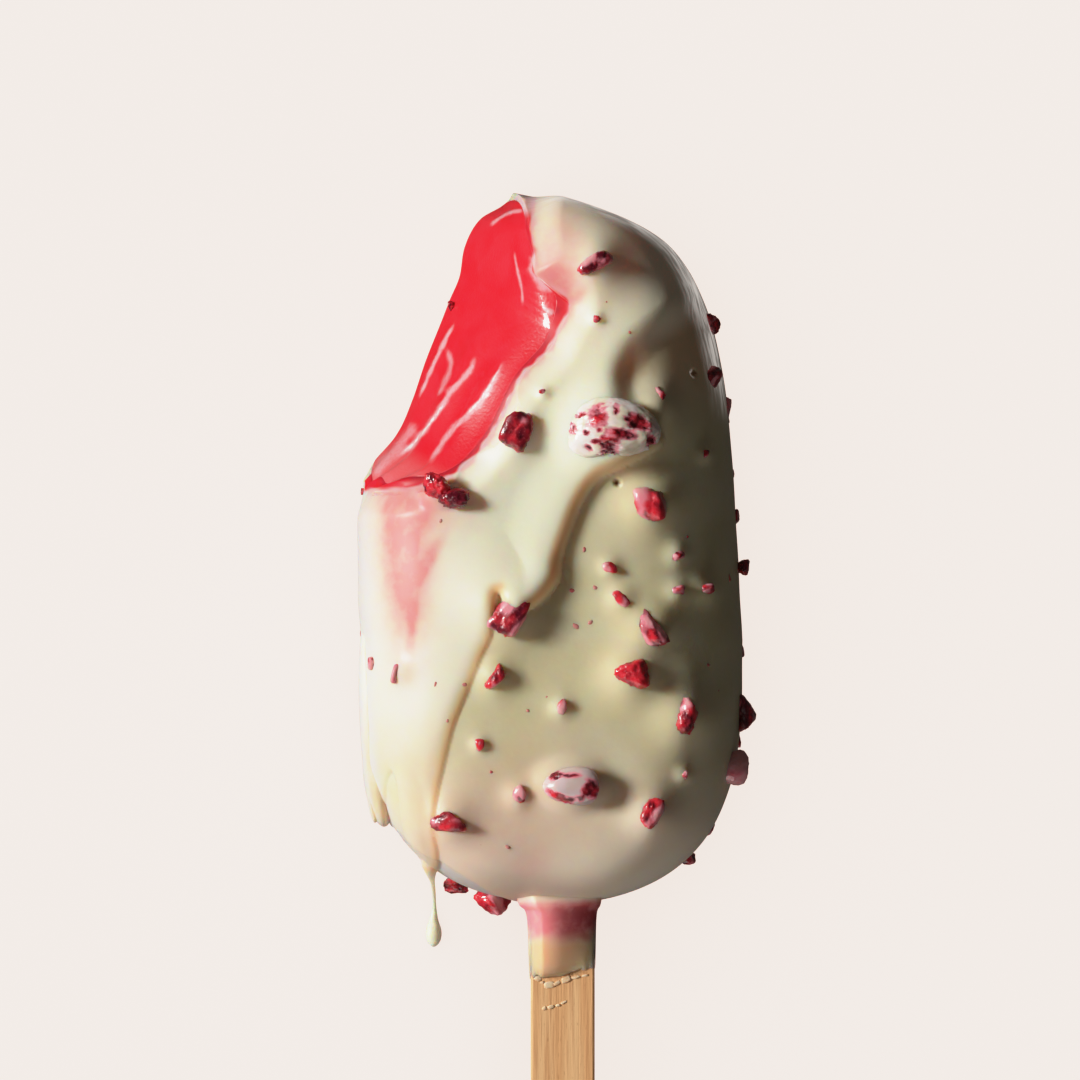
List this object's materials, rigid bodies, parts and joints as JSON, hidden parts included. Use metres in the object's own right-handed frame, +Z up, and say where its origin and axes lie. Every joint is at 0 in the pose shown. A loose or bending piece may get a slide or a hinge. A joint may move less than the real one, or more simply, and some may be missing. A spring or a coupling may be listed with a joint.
{
  "type": "gelato bar",
  "caption": "Flat gelato bar on a wooden stick, dipped in melted white coating with raspberry pieces, one upper corner bitten off.",
  "frame": {"origin": "on the flat back the bar lies on, under the middle of the bar", "axes": "+Z up to the front that shows, +Y from the stick toward the bar's top, +X to the right as the front is seen"},
  "size_m": [0.0528, 0.1446, 0.0301],
  "materials": {
    "white_coating": "glossy white coating",
    "raspberry_gelato": "wet, melting gelato",
    "raspberry": "dried raspberry",
    "wood": "bare birch"
  },
  "bodies": {
    "root": {"coating": "white_coating", "gelato": "raspberry_gelato", "raspberry_large": "raspberry", "raspberry_low": "raspberry", "raspberry_at_bite": "raspberry", "stick": "wood"}
  },
  "joints": []
}
